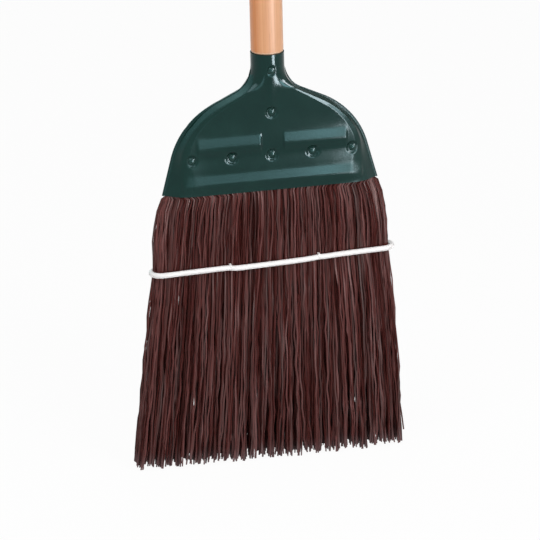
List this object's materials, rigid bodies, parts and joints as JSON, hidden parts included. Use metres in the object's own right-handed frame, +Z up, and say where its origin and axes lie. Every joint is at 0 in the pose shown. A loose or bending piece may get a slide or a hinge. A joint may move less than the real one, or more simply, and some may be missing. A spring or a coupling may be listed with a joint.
{
  "type": "upright broom",
  "caption": "Heavy upright broom: round wooden handle riveted into a pressed steel case that holds a flared fill of stiff plastic strands, bound by a coated wire.",
  "frame": {"origin": "on the floor, under the middle of the strand tips", "axes": "+Z up along the handle, +Y through the thin depth of the head towards its rear, +X across its width"},
  "size_m": [0.249, 0.0332, 1.3771],
  "materials": {
    "lacquered_wood": "clear lacquer over straight-grained hardwood",
    "green_enamel": "gloss enamel",
    "rivet_enamel": "gloss enamel over steel",
    "strand_plastic": "satin",
    "white_coating": "smooth"
  },
  "bodies": {
    "root": {"handle": "lacquered_wood", "case_front": "green_enamel", "case_rear": "green_enamel", "neck_rivet": "rivet_enamel", "crown_rivet": "rivet_enamel", "row_rivets": "rivet_enamel", "fill_bay_1": "strand_plastic", "fill_bay_2": "strand_plastic", "fill_bay_3": "strand_plastic", "fill_bay_4": "strand_plastic", "fill_bay_5": "strand_plastic", "fill_bay_6": "strand_plastic", "binding_wire": "white_coating", "cross_tie_left": "white_coating", "cross_tie_right": "white_coating"}
  },
  "joints": []
}
